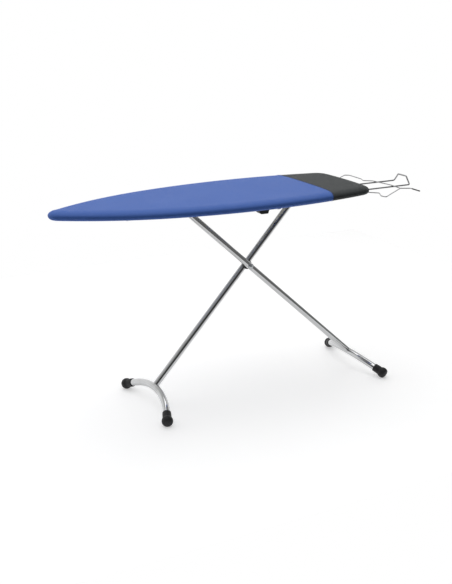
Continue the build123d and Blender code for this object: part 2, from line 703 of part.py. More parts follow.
def rest_clip(x, y):
    """Block that holds one rod of the rest under the end strut."""
    low = LOOP_Z - LOOP_R - 2.5
    with BuildPart() as block:
        with BuildSketch(Plane.XY.offset(low)):
            with Locations((x, y)):
                RectangleRounded(CLIP_L, CLIP_W, 4.0)
        extrude(amount=STRUT_Z - low)
        with BuildSketch(Plane(origin=(x - 30, y, LOOP_Z), x_dir=(0, 1, 0), z_dir=(1, 0, 0))):
            Circle(LOOP_R)
        extrude(amount=60, mode=Mode.SUBTRACT)
        fillet(block.edges().group_by(Axis.Z)[0], 1.0)
    return block


keep(rest_clip(*clip_spots[0]), "rest_clip_near")
keep(rest_clip(*clip_spots[1]), "rest_clip_far")
clip_screws = [(x, y + side * 11, LOOP_Z - LOOP_R - 2.5) for x, y in clip_spots
               for side in (-1, 1)]
keep(pan_screws("rest_screws", clip_screws), "rest_screws")
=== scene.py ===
# %% [markdown]
# # An ironing board, finished in Blender
# The CAD model of the board is already packed: it says how big every part is and how it moves.
# This lesson gives that model its looks. First the imported model is loaded, and at the end
# the size of the finished model is measured.

# %% Load the imported model
import json
import math
import random

import bmesh
import bpy
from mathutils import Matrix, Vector

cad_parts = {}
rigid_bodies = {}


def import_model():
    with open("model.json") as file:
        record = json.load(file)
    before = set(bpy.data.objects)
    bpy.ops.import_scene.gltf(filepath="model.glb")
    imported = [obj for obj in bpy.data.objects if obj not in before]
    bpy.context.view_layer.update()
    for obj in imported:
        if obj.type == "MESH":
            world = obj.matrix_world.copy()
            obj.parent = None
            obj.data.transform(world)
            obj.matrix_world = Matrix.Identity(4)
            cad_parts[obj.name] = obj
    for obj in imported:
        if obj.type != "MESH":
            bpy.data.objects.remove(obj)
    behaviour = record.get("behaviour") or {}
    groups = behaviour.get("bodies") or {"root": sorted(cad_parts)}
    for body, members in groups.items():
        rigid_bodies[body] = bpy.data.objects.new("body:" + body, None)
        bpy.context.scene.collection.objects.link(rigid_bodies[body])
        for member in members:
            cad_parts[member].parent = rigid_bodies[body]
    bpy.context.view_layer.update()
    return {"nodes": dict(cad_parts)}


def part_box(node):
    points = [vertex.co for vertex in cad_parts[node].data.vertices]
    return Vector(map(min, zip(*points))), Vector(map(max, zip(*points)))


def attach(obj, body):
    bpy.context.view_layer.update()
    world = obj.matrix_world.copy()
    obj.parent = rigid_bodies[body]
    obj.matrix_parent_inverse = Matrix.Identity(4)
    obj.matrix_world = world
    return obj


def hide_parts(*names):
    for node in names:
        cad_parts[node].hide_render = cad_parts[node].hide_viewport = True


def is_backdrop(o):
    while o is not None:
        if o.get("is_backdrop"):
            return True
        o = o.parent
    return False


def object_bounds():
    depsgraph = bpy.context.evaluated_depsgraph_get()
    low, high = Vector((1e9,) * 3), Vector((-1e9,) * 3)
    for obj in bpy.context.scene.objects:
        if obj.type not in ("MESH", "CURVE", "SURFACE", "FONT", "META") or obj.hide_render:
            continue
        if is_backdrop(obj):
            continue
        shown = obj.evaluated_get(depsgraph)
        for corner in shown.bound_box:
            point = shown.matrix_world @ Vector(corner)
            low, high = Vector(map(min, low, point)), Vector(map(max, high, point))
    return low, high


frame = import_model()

MM = 0.001

# %% [markdown]
# ## The view and the room
# A product like this stands on a white sweep: a pale floor that runs up into a pale backdrop.
# We look down on the board a little, from the nose side. The camera has no tilt and a lens a
# little longer than normal, so the board keeps its true shape.

# %% Camera
TURN = math.radians(-28.014)
LOOK_DOWN = math.radians(18.021)
LENS = 58.46
CAMERA_PLACE = Vector((-1.7082, -3.0808, 1.5437))
toward_viewer = Vector((math.sin(TURN) * math.cos(LOOK_DOWN),
                        -math.cos(TURN) * math.cos(LOOK_DOWN), math.sin(LOOK_DOWN)))
camera_data = bpy.data.cameras.new("camera")
camera_data.lens = LENS
camera_data.sensor_fit = "AUTO"
camera_data.sensor_width = 36.0
camera = bpy.data.objects.new("camera", camera_data)
camera.location = CAMERA_PLACE
camera.rotation_euler = (-toward_viewer).to_track_quat("-Z", "Y").to_euler()
bpy.context.collection.objects.link(camera)
scene = bpy.context.scene
scene.camera = camera
scene.view_settings.view_transform = "Standard"
print("lens", LENS, "mm, looking down", round(math.degrees(LOOK_DOWN), 1), "degrees")

# %% [markdown]
# ## Numbers and colours that travel along node links
# Materials are node trees. Writing them link by link is slow to read, so a small class wraps a
# socket and turns `a * 3 + b` into Math nodes. Everything else comes from one method, `node`,
# which takes the kind of node, its settings, and then what goes into its sockets.

# %% Shader helpers
class Link:
    """A number on its way from one node to the next."""

    def __init__(self, bench, socket):
        self.bench = bench
        self.socket = socket

    def __add__(self, other):
        return self.bench.maths("ADD", self, other)

    def __sub__(self, other):
        return self.bench.maths("SUBTRACT", self, other)

    def __rsub__(self, other):
        return self.bench.maths("SUBTRACT", other, self)

    def __mul__(self, other):
        return self.bench.maths("MULTIPLY", self, other)

    def __truediv__(self, other):
        return self.bench.maths("DIVIDE", self, other)

    def __pow__(self, other):
        return self.bench.maths("POWER", self, other)

    __radd__ = __add__
    __rmul__ = __mul__


class Bench:
    """A node tree being wired."""

    def __init__(self, tree):
        self.tree = tree

    def node(self, kind, settings=None, inputs=None, out=0):
        """Add a node: its settings first, then its sockets. Returns the chosen output."""
        made = self.tree.nodes.new(kind)
        for name, value in (settings or {}).items():
            if name == "stops":
                ramp = made.color_ramp
                for place, colour in value[2:]:
                    ramp.elements.new(place).color = (*colour, 1.0)
                for element, (place, colour) in zip((ramp.elements[0], ramp.elements[-1]), value[:2]):
                    element.position = place
                    element.color = (*colour, 1.0)
            else:
                setattr(made, name, value)
        for name, value in (inputs or {}).items():
            socket = made.inputs[name]
            if isinstance(value, Link):
                self.tree.links.new(value.socket, socket)
            else:
                socket.default_value = value
        return Link(self, made.outputs[out])

    def maths(self, operation, *values):
        return self.node("ShaderNodeMath", {"operation": operation}, dict(enumerate(values)))

    def clamp(self, value, low=0.0, high=1.0):
        return self.node("ShaderNodeClamp", None, {"Value": value, "Min": low, "Max": high})

    def step(self, value, low, high):
        """0 below low, 1 above high, smooth between."""
        return self.node("ShaderNodeMapRange", {"interpolation_type": "SMOOTHSTEP"},
                         {"Value": value, "From Min": low, "From Max": high})

    def mix(self, share, first, second):
        """Colour that goes from first to second as share goes from 0 to 1."""
        colours = [value if isinstance(value, Link) else (*value, 1.0) for value in (first, second)]
        return self.node("ShaderNodeMix", {"data_type": "RGBA"},
                         {"Factor": share, 6: colours[0], 7: colours[1]}, out=2)

    def axes(self, vector):
        """The x, y and z of a vector."""
        split = self.node("ShaderNodeSeparateXYZ", None, {"Vector": vector}).socket.node
        return [Link(self, split.outputs[axis]) for axis in "XYZ"]

    def stretch(self, vector, scale):
        return self.node("ShaderNodeMapping", None, {"Vector": vector, "Scale": scale})

    def noise(self, vector, scale, detail=3.0, rough=0.5):
        return self.node("ShaderNodeTexNoise", None,
                         {"Vector": vector, "Scale": scale, "Detail": detail, "Roughness": rough})

    def bump(self, height, depth, strength=1.0):
        """Normal of a surface whose height goes from 0 to 1 over depth metres."""
        return self.node("ShaderNodeBump", None,
                         {"Height": height, "Distance": depth, "Strength": strength})


class Finish(Bench):
    """A material with one Principled shader."""

    def __init__(self, name, **fixed):
        self.material = bpy.data.materials.new(name)
        self.material.use_nodes = True
        super().__init__(self.material.node_tree)
        self.shader = self.tree.nodes["Principled BSDF"]
        for socket, value in fixed.items():
            self.shader.inputs[socket.replace("_", " ")].default_value = value
        self.place = self.node("ShaderNodeTexCoord", None, None, out="Object")
        self.flat = self.node("ShaderNodeTexCoord", None, None, out="UV")

    def set(self, **links):
        """Link what changes over the surface."""
        for socket, value in links.items():
            self.tree.links.new(value.socket, self.shader.inputs[socket.replace("_", " ")])


# %% [markdown]
# ## Light
# Soft light comes from everywhere, so shadows are faint. Chrome shows its surroundings, and a
# chrome tube in an even white room looks like grey plastic. The room is therefore bright behind
# the board, half as bright overhead, and dark behind the viewer and to the right: the tubes then
# carry the long dark stripes that make chrome read as chrome. One soft box hangs overhead.

# %% World
world = bpy.data.worlds.new("studio")
world.use_nodes = True
scene.world = world
room = Bench(world.node_tree)
way = room.node("ShaderNodeTexCoord", None, None, out="Generated")
viewer_side = Vector((math.sin(TURN), -math.cos(TURN), 0.0))
right_side = Vector((math.cos(TURN), math.sin(TURN), 0.0))
toward = room.node("ShaderNodeVectorMath", {"operation": "DOT_PRODUCT"},
                   {0: way, 1: viewer_side}, out="Value")
sideways = room.node("ShaderNodeVectorMath", {"operation": "DOT_PRODUCT"},
                     {0: way, 1: right_side}, out="Value")
upward = room.axes(way)[2]
BACKDROP, RIGHT_WALL, BEHIND_VIEWER, CEILING = 1.05, 0.20, 0.05, 0.55
right_wall = room.step(toward + sideways * 0.9, -0.30, 0.25)
behind_viewer = room.step(toward - sideways * 0.25, 0.25, 0.70)
high = room.step(upward, 0.35, 0.75)
brightness = BACKDROP * (1.0 - right_wall) + RIGHT_WALL * right_wall
brightness = brightness * (1.0 - behind_viewer) + BEHIND_VIEWER * behind_viewer
brightness = brightness * (1.0 - high) + CEILING * high
seen = room.node("ShaderNodeLightPath", None, None, out="Is Camera Ray")
background = world.node_tree.nodes["Background"]
background.inputs["Color"].default_value = (1.0, 1.0, 1.0, 1.0)
world.node_tree.links.new((brightness * (1.0 - seen) + seen * 1.0).socket,
                          background.inputs["Strength"])


def soft_light(name, place, aim, wide, tall, watts):
    """Rectangular soft box."""
    data = bpy.data.lights.new(name, "AREA")
    data.shape = "RECTANGLE"
    data.size = wide
    data.size_y = tall
    data.energy = watts
    light = bpy.data.objects.new(name, data)
    light.location = place
    light.rotation_euler = (Vector(aim) - Vector(place)).to_track_quat("-Z", "Y").to_euler()
    bpy.context.collection.objects.link(light)


soft_light("overhead", (-0.3, 0.4, 3.2), (0, 0, 0.4), 3.2, 2.4, 36)

# %% [markdown]
# The floor glows a little, so it stays nearly white under the board. It stops a short way in
# front of the feet, so the front of the tubes reflects the dark side of the room and not floor.

# %% Floor
floor_finish = Finish("pale_floor", Roughness=0.6, Emission_Strength=0.40)
floor_tone = floor_finish.noise(floor_finish.place, 1.3)
floor_finish.set(Base_Color=floor_finish.mix(floor_tone, (0.82, 0.82, 0.82), (0.86, 0.86, 0.86)),
                 Emission_Color=floor_finish.mix(floor_tone, (0.98, 0.98, 0.98), (1.0, 1.0, 1.0)))
FLOOR_HALF = 1.9
FLOOR_FRONT = -0.95
floor_mesh = bpy.data.meshes.new("floor")
corners = [(-FLOOR_HALF, FLOOR_FRONT, 0), (FLOOR_HALF, FLOOR_FRONT, 0),
           (FLOOR_HALF, FLOOR_HALF, 0), (-FLOOR_HALF, FLOOR_HALF, 0)]
floor_mesh.from_pydata(corners, [], [(0, 1, 2, 3)])
floor = bpy.data.objects.new("floor", floor_mesh)
floor_mesh.materials.append(floor_finish.material)
bpy.context.collection.objects.link(floor)
floor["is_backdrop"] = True
print("room ready")

# %% [markdown]
# ## Metals
# The legs and feet are chromed steel tube: almost a mirror, with a faint haze from polishing and
# fine scratches round the tube. One function makes every metal, because they differ only in
# colour, in how rough they are, and in how worn. The roughness and the height of the surface
# come from noise on the object's own coordinates, so the marks stay put when a part moves.

# %% Chrome, zinc, spring steel and wire
def bare_metal(name, colour, worn_colour, rough, haze, grain, scratch_depth):
    """Polished or plated metal with hazy patches, fine grain and small scratches."""
    metal = Finish(name, Metallic=1.0)
    patches = metal.noise(metal.place, 14.0, 4.0, 0.6)
    fine = metal.noise(metal.place, grain, 2.0)
    lines = metal.noise(metal.stretch(metal.place, (900.0, 40.0, 900.0)), 1.0, 2.0)
    marks = metal.step(lines, 0.62, 0.72)
    metal.set(Base_Color=metal.mix(metal.step(patches, 0.45, 0.8), colour, worn_colour),
              Roughness=metal.clamp(rough + haze * patches + marks * haze * 0.6),
              Normal=metal.bump(fine * 0.5 + marks * 0.5, scratch_depth))
    return metal.material


finishes = {
    "chrome_tube": bare_metal("chrome", (0.56, 0.565, 0.57), (0.46, 0.46, 0.46),
                              0.05, 0.10, 500.0, 0.00001),
    "chrome_wire": bare_metal("wire_chrome", (0.30, 0.30, 0.305), (0.22, 0.22, 0.22),
                              0.16, 0.14, 800.0, 0.00001),
    "zinc": bare_metal("zinc_plate", (0.62, 0.64, 0.66), (0.48, 0.48, 0.47),
                       0.30, 0.22, 350.0, 0.00003),
    "spring_steel": bare_metal("spring_wire", (0.42, 0.42, 0.43), (0.30, 0.29, 0.28),
                               0.28, 0.15, 700.0, 0.00001),
}
print("bare metals:", sorted(finishes))

# %% [markdown]
# ## Enamel, plastic and rubber
# The frame under the cloth is powder coated. Powder melts into a skin with a soft orange-peel
# texture, so its bump is a rounded noise a few millimetres wide. The moulded lever, spacer and
# caps are black; the rubber feet are duller, dusty, and scuffed grey near the floor.

# %% Painted and moulded finishes
def powder_coat(name, colour, dust_colour):
    coat = Finish(name, Coat_Roughness=0.25)
    peel = coat.noise(coat.place, 420.0, 1.0)
    dust = coat.noise(coat.place, 9.0, 5.0, 0.65)
    coat.set(Base_Color=coat.mix(coat.step(dust, 0.45, 0.85), colour, dust_colour),
             Roughness=coat.clamp(0.34 + dust * 0.22),
             Coat_Weight=coat.clamp(0.35 - dust * 0.3),
             Normal=coat.bump(peel, 0.00006))
    return coat.material


def moulded_plastic(name, colour, pale, rough):
    """Fine spark-eroded texture, a little paler where hands have rubbed it."""
    plastic = Finish(name)
    texture = plastic.noise(plastic.place, 1600.0, 2.0)
    rubbed = plastic.noise(plastic.place, 35.0, 3.0)
    plastic.set(Base_Color=plastic.mix(plastic.step(rubbed, 0.5, 0.8), colour, pale),
                Roughness=plastic.clamp(rough + rubbed * 0.2),
                Normal=plastic.bump(texture, 0.00003))
    return plastic.material


def foot_rubber(name):
    """Black rubber, dusty grey where it meets the floor."""
    rubber = Finish(name, Specular_IOR_Level=0.35)
    height = rubber.axes(rubber.place)[2]
    scuffs = rubber.noise(rubber.place, 90.0, 5.0, 0.7)
    near_floor = 1.0 - rubber.step(height + scuffs * 0.006, 0.003, 0.010)
    grain = rubber.noise(rubber.place, 1300.0, 2.0)
    rubber.set(Base_Color=rubber.mix(near_floor * 0.7, (0.012, 0.012, 0.013), (0.10, 0.095, 0.09)),
               Roughness=rubber.clamp(0.42 + scuffs * 0.25 + near_floor * 0.2),
               Normal=rubber.bump(grain * 0.6 + scuffs * 0.4, 0.00006))
    return rubber.material


finishes["grey_enamel"] = powder_coat("grey_powder_coat", (0.36, 0.37, 0.38), (0.30, 0.30, 0.29))
finishes["black_plastic"] = moulded_plastic("black_nylon", (0.014, 0.014, 0.015),
                                            (0.035, 0.035, 0.036), 0.38)
finishes["white_nylon"] = moulded_plastic("white_nylon", (0.72, 0.71, 0.68),
                                          (0.62, 0.60, 0.55), 0.35)
finishes["black_rubber"] = foot_rubber("foot_rubber")
print("finishes so far:", len(finishes))

# %% [markdown]
# ## Woven cotton
# The cover is a plain weave: threads go over and under each other in turn, like a chess board.
# Two waves, one along each thread direction, give the height of the cloth. Their product says
# which thread is on top. The pattern reads the cloth's own flat coordinates, in metres, so it
# follows the cloth round the board's edge. The colour follows that height too: painted shade,
# darker in the hollows between threads and lighter on their tops. Larger noise adds the slightly
# uneven dye and the soft polish that an iron leaves along the middle.

# %% Cloth and felt
def woven(name, colour, light_colour, pitch, rough, sheen, fuzz):
    """Plain weave with threads pitch metres apart."""
    cloth = Finish(name, Sheen_Weight=sheen, Sheen_Roughness=0.45, Specular_IOR_Level=0.22)
    along, across = cloth.axes(cloth.flat)[:2]
    turns = math.pi / pitch
    slubs = cloth.noise(cloth.stretch(cloth.flat, (18.0, 420.0, 1.0)), 1.0, 3.0)
    warp = cloth.maths("SINE", along * turns + slubs * 0.8)
    weft = cloth.maths("SINE", across * turns)
    over = cloth.step(warp * weft, -0.35, 0.35)
    threads = cloth.maths("ABSOLUTE", warp) * over + cloth.maths("ABSOLUTE", weft) * (1.0 - over)
    dye = cloth.noise(cloth.place, 6.0, 4.0, 0.55)
    polish = cloth.noise(cloth.stretch(cloth.place, (1.2, 5.0, 1.0)), 1.0, 3.0)
    # Colour share: real dye and slub tone, plus painted shade from the thread height (hollows darker,
    # thread tops lighter).
    dye_and_hollow_shade = cloth.clamp(0.25 + (dye - 0.5) * 0.9 + (threads - 0.6) * 0.28 + (slubs - 0.5) * 0.25)
    cloth.set(Base_Color=cloth.mix(dye_and_hollow_shade, colour, light_colour),
              Roughness=cloth.clamp(rough - polish * 0.14 + (1.0 - threads) * 0.10),
              Normal=cloth.bump(threads * 0.8 + dye * fuzz, pitch * 0.32))
    return cloth.material


def pressed_felt(name):
    """Pale needled felt: short fibres lying every way."""
    felt = Finish(name, Sheen_Weight=0.3, Specular_IOR_Level=0.2)
    fibres = felt.noise(felt.stretch(felt.place, (700.0, 180.0, 500.0)), 1.0, 4.0, 0.7)
    crossed = felt.noise(felt.stretch(felt.place, (160.0, 800.0, 500.0)), 1.0, 4.0, 0.7)
    clumps = felt.noise(felt.place, 60.0, 3.0)
    tangle = felt.clamp(fibres * 0.5 + crossed * 0.5)
    felt.set(Base_Color=felt.mix(felt.step(tangle * 0.6 + clumps * 0.4, 0.35, 0.65),
                                 (0.52, 0.50, 0.45), (0.70, 0.68, 0.62)),
             Roughness=felt.clamp(0.85 + clumps * 0.1),
             Normal=felt.bump(tangle, 0.0005))
    return felt.material


THREAD = 0.55 * MM
finishes["blue_cloth"] = woven("blue_cotton", (0.054, 0.138, 0.475), (0.072, 0.168, 0.530),
                               THREAD, 0.64, 0.04, 0.25)
finishes["charcoal_cloth"] = woven("charcoal_heat_cloth", (0.033, 0.038, 0.039),
                                   (0.046, 0.051, 0.052), THREAD * 1.3, 0.66, 0.03, 0.2)
finishes["hem_cloth"] = woven("hem_tape", (0.040, 0.085, 0.320), (0.055, 0.105, 0.350),
                              THREAD * 1.6, 0.75, 0.10, 0.3)
finishes["felt"] = pressed_felt("pressed_felt")
thread_finish = woven("sewing_thread", (0.035, 0.072, 0.27), (0.060, 0.11, 0.36),
                      THREAD * 0.3, 0.55, 0.2, 0.1)


def put_finishes_on_cad():
    for node in frame["nodes"].values():
        for place, material in enumerate(node.data.materials):
            name = material.name.split(".")[0]
            if name in finishes:
                node.data.materials[place] = finishes[name]


put_finishes_on_cad()
print("finishes:", sorted(finishes))

# %% [markdown]
# ## The board's outline
# Seen from above, each side of the board is a chain of arcs that run into each other: a tight
# nose, a long flank, a nearly straight side, a round corner and a square end with a slight bow.
# We walk along those arcs by length, so points along the edge are evenly spaced, and at each
# point we know which way is out. Everything soft is built from that walk.

# %% Walk round the edge
END_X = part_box("cover_charcoal")[1].x
NOSE_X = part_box("cover_blue")[0].x
SEAM_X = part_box("cover_blue")[1].x
ARC_RADII = [43 * MM, 1152 * MM, 1905 * MM, 67 * MM]
HEADINGS = [math.radians(turn) for turn in (90.0, 32.5, 11.1, -12.3, -85.2, -90.0)]


def edge_arcs():
    """Arcs of one side as (centre, radius, first heading, last heading), from the nose on."""
    at = Vector((NOSE_X, 0.0))
    arcs = []
    for radius, first, last in zip(ARC_RADII, HEADINGS, HEADINGS[1:]):
        centre = at + radius * Vector((math.sin(first), -math.cos(first)))
        arcs.append((centre, radius, first, last))
        at = centre + radius * Vector((-math.sin(last), math.cos(last)))
    first, last = HEADINGS[-2:]
    radius = at.y / math.cos(first)
    arcs.append((Vector((at.x + radius * math.sin(first), 0.0)), radius, first, last))
    return arcs


ARCS = edge_arcs()
SIDE_LENGTH = sum(radius * (first - last) for _, radius, first, last in ARCS)


def edge_at(distance):
    """Point, outward direction and radius of the edge, at a distance from the nose."""
    around = distance % (2 * SIDE_LENGTH)
    side = 1.0 if around <= SIDE_LENGTH else -1.0
    left = min(around, 2 * SIDE_LENGTH - around)
    for centre, radius, first, last in ARCS:
        length = radius * (first - last)
        if left <= length or last == HEADINGS[-1]:
            heading = first - left / radius
            out = Vector((-math.sin(heading), math.cos(heading)))
            point = centre + out * radius
            return Vector((point.x, side * point.y)), Vector((out.x, side * out.y)), radius
        left -= length


end_reach = edge_at(SIDE_LENGTH)[0].x
print("edge is", round(2 * SIDE_LENGTH, 3), "m long; square end off by",
      round((end_reach - END_X) * 1000, 2), "mm")

# %% [markdown]
# ## The cover
# A cover is cut larger than the board, laid over the felt, wrapped round the edge and drawn in
# underneath by a cord in its hem. On top it is stretched smooth. Underneath, the spare cloth
# gathers in pleats that fan out round the nose and the corners, where the edge turns most.
#
# A cloth simulation could draw the hem in, but pleats of this kind follow a simple rule: the
# deeper the turn, the more cloth there is to lose. So the pleats are worked out from the edge's
# radius, with a seeded random walk that makes each one a different width.

# %% Pleats
random.seed(7)
COVER_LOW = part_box("cover_blue")[0].z
COVER_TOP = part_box("cover_blue")[1].z
HALF_THICK = (COVER_TOP - COVER_LOW) / 2
LIP = 38 * MM
HEM = 58 * MM
AROUND = 1500
PLEAT_WIDTH = 13 * MM
PLEAT_DEPTH = 4.2 * MM


def pleat_wave():
    """Height of the gathers from 0 to 1 at each step round the edge, and their fullness."""
    phase, pace, waves = 0.0, 1.0, []
    step = 2 * SIDE_LENGTH / AROUND
    for index in range(AROUND):
        radius = edge_at((index + 0.5) * step)[2]
        spare = (radius + HALF_THICK * math.pi + LIP) / max(radius - HEM, 6 * MM) - 1.0
        fullness = min(1.0, PLEAT_WIDTH / math.pi * math.sqrt(spare) / PLEAT_DEPTH)
        pace += random.uniform(-0.09, 0.09) - (pace - 1.0) * 0.05
        phase += step / PLEAT_WIDTH * pace
        waves.append((phase, fullness * random.uniform(0.93, 1.07)))
    whole = round(phase)
    return [(0.5 - 0.5 * math.cos(2 * math.pi * turn * whole / phase), full)
            for turn, full in waves]


PLEATS = pleat_wave()
print("pleats round the hem:", round(2 * SIDE_LENGTH / PLEAT_WIDTH),
      "- fullest", round(max(full for _, full in PLEATS), 2))


def inward(point, out, inset):
    """Where a point under the board lies, this far in from the edge but short of the middle."""
    room_left = abs(point.y) / max(abs(out.y), 0.001)
    return point - out * min(inset, max(room_left, 0.0) * 0.82 + 0.001 * MM)


def spine_point(point, out):
    """Point of the board's middle line that a point of the edge faces."""
    room_left = abs(point.y) / max(abs(out.y), 0.001)
    across_at = point.x + max(0.0, -out.x) * room_left
    return Vector((min(max(across_at, NOSE_X + ARC_RADII[0]), END_X - 210 * MM), 0.0))


# %% [markdown]
# The cover's surface is a grid. One direction goes round the edge. The other starts at the lip
# underneath, goes round the rim and then over the top to the board's middle line, where the two
# sides meet. Each point also stores where it would be in the flat cloth, for the weave.
#
# The lower half of the rim is a tight round. The upper half is a wide soft shoulder, because the
# padding gives way there, and it lifts the cloth a few millimetres over the hard board.

# %% Cover surface
RIM_GAP = 0.1 * MM
MERGE_WITHIN = 0.02 * MM
CROWN = 0.5 * MM
SHOULDER = 42 * MM
WRAP_ROWS = 15
LIP_ROWS = 7
TOP_ROWS = 12
SEAM_HEIGHT = 0.45 * MM
SEAM_BOW = 20 * MM
SEAM_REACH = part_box("cover_blue")[1].y
LOFT = 4 * MM
WRINKLE = 0.35 * MM


def seam_bow(y):
    """How far the seam drifts toward the nose at this distance from the middle."""
    return -SEAM_BOW * (abs(y) / SEAM_REACH) ** 4


def seam_lift(x):
    """A felled seam stands a little proud, with a groove where the two cloths meet."""
    away = abs(x - SEAM_X)
    ridge = SEAM_HEIGHT * max(0.0, 1.0 - (away / (5 * MM)) ** 2)
    return ridge - 0.9 * SEAM_HEIGHT * math.exp(-(away / (0.8 * MM)) ** 2)


def soft_wave(x, y):
    """Slow waves of cloth that has been taken off, washed and pulled back on."""
    return (math.sin(x * 11.3 + y * 7.1) + math.sin(x * 23.7 - y * 17.9 + 1.3)
            + 0.6 * math.sin(x * 5.1 + y * 41.0 + 0.7)) / 2.6


def lip_gather(share, wave, fullness):
    """How far the pleats lift the cloth, fading out as share goes to 1 at the rim."""
    return (1.0 - share) ** 1.4 * wave * fullness * PLEAT_DEPTH


def lip_share(inset):
    """0 at the lip's inner edge and beyond it, 1 at the rim."""
    return max(0.0, (LIP - inset) / (LIP - HALF_THICK))


def cover_rows(point, out, wave, fullness):
    """The cover's section at one place: points with their flat cloth coordinates."""
    rows = []
    radius = HALF_THICK - RIM_GAP
    shoulder = inward(point, out, SHOULDER)
    reach = (point - shoulder).length
    under = point - out * radius
    wrap_length = math.pi / 2 * (radius + math.hypot(radius, reach) / math.sqrt(2))
    for row in range(LIP_ROWS):
        share = row / LIP_ROWS
        inset = LIP + (radius - LIP) * share
        spot = inward(point, out, inset)
        gather = lip_gather(share, wave, fullness)
        flat = shoulder + out * (wrap_length + inset - radius)
        rows.append((Vector((spot.x, spot.y, COVER_LOW + gather)), flat))
    for row in range(WRAP_ROWS):
        turn = math.pi * (row / (WRAP_ROWS - 1) - 0.5)
        above = turn > 0
        width = reach if above else radius
        start = shoulder if above else under
        place = start + out * width * math.cos(turn)
        drop = CROWN * (row / (WRAP_ROWS - 1))
        tall = radius + LOFT if above else radius
        height = COVER_LOW + radius + tall * math.sin(turn) - drop
        flat = shoulder + out * (wrap_length * (0.5 - turn / math.pi))
        rows.append((Vector((place.x, place.y, height)), flat))
    middle = spine_point(point, out)
    for row in range(1, TOP_ROWS + 1):
        share = row / TOP_ROWS
        place = shoulder.lerp(middle, share)
        crown = CROWN * (1.0 - (1.0 - share) ** 2)
        ripple = WRINKLE * soft_wave(place.x, place.y) * math.sin(math.pi * min(share * 4, 0.5))
        height = COVER_LOW + 2 * radius + LOFT - CROWN + crown + ripple
        rows.append((Vector((place.x, place.y, height)), place))
    return rows


def add_flat_map(mesh, flat_places):
    """UV map whose numbers are metres of flat cloth."""
    layer = mesh.uv_layers.new(name="cloth")
    for loop in mesh.loops:
        layer.data[loop.index].uv = flat_places[loop.vertex_index]


def mesh_object(name, mesh, material):
    made = bpy.data.objects.new(name, mesh)
    mesh.materials.clear()
    mesh.materials.append(material)
    bpy.context.collection.objects.link(made)
    for polygon in mesh.polygons:
        polygon.use_smooth = True
    return made


def cover_mesh():
    """The whole cover as one grid round the edge."""
    points, flats, faces = [], [], []
    step = 2 * SIDE_LENGTH / AROUND
    for index in range(AROUND):
        point, out, _ = edge_at((index + 0.5) * step)
        wave, fullness = PLEATS[index]
        for spot, flat in cover_rows(point, out, wave, fullness):
            points.append(spot)
            flats.append(flat)
    rows = LIP_ROWS + WRAP_ROWS + TOP_ROWS
    for index in range(AROUND):
        here, there = index * rows, (index + 1) % AROUND * rows
        for row in range(rows - 1):
            faces.append((here + row, there + row, there + row + 1, here + row + 1))
    mesh = bpy.data.meshes.new("cover")
    mesh.from_pydata(points, [], faces)
    add_flat_map(mesh, flats)
    return mesh


whole_cover = cover_mesh()
print("cover grid:", len(whole_cover.vertices), "points")

# %% [markdown]
# ## Two cloths and a seam
# The blue cotton stops at a cross seam, and a charcoal heat-resistant cloth covers the square
# end, where a hot iron is put down. Cutting the one grid along the seam gives two pieces whose
# edges meet exactly. The stretched cloth pulls the seam's ends toward the nose, so the grid is
# shifted by that bow, cut straight, and shifted back. Solidify then gives the cloth thickness.

# %% Cut the cover at the seam
CLOTH = 0.7 * MM


def cut_piece(name, keep_nose_side, slot):
    shape = bmesh.new()
    shape.from_mesh(whole_cover)
    bmesh.ops.remove_doubles(shape, verts=shape.verts, dist=MERGE_WITHIN)
    for vertex in shape.verts:
        vertex.co.x -= seam_bow(vertex.co.y)
    bmesh.ops.bisect_plane(shape, geom=shape.verts[:] + shape.edges[:] + shape.faces[:],
                           plane_co=(SEAM_X, 0, 0), plane_no=(1, 0, 0), dist=0.01 * MM,
                           clear_outer=keep_nose_side, clear_inner=not keep_nose_side)
    for vertex in shape.verts:
        if vertex.co.z > COVER_LOW + HALF_THICK:
            vertex.co.z += seam_lift(vertex.co.x)
        vertex.co.x += seam_bow(vertex.co.y)
    bmesh.ops.recalc_face_normals(shape, faces=shape.faces)
    highest = max(shape.faces, key=lambda face: face.calc_center_median().z)
    if highest.normal.z < 0:
        bmesh.ops.reverse_faces(shape, faces=shape.faces)
    mesh = bpy.data.meshes.new(name)
    area = sum(face.calc_area() for face in shape.faces)
    shape.to_mesh(mesh)
    shape.free()
    piece = mesh_object(name, mesh, finishes[slot])
    wall = piece.modifiers.new("cloth thickness", "SOLIDIFY")
    wall.thickness = CLOTH
    wall.offset = -1.0
    wall.use_even_offset = False
    wall.use_quality_normals = True
    return piece, area


def make_real(piece):
    """Replace a piece's mesh by what its modifiers make of it."""
    graph = bpy.context.evaluated_depsgraph_get()
    mesh = bpy.data.meshes.new_from_object(piece.evaluated_get(graph),
                                           preserve_all_data_layers=True, depsgraph=graph)
    piece.modifiers.clear()
    piece.data = mesh
    return piece


blue_cover, blue_area = cut_piece("blue_cover_cloth", True, "blue_cloth")
end_cover, end_area = cut_piece("charcoal_end_cloth", False, "charcoal_cloth")
for piece in (blue_cover, end_cover):
    make_real(piece)
print("cloth areas:", round(blue_area, 3), round(end_area, 3), "square metres")

# %% [markdown]
# ## The gathered hem
# The hem is a band sewn to the cover's lip, with a channel along its inner edge for the draw
# cord. Its pleats carry on from the lip's, and the channel stays round because the cord fills it.

# %% Hem band
HEM_ROWS = 6
HEM_OVERLAP = 3.0 * MM
HEM_TAPE = 0.6 * MM
CHANNEL_R = 2.1 * MM
CHANNEL_ROWS = 8
BAND_LOW = COVER_LOW - CLOTH - RIM_GAP


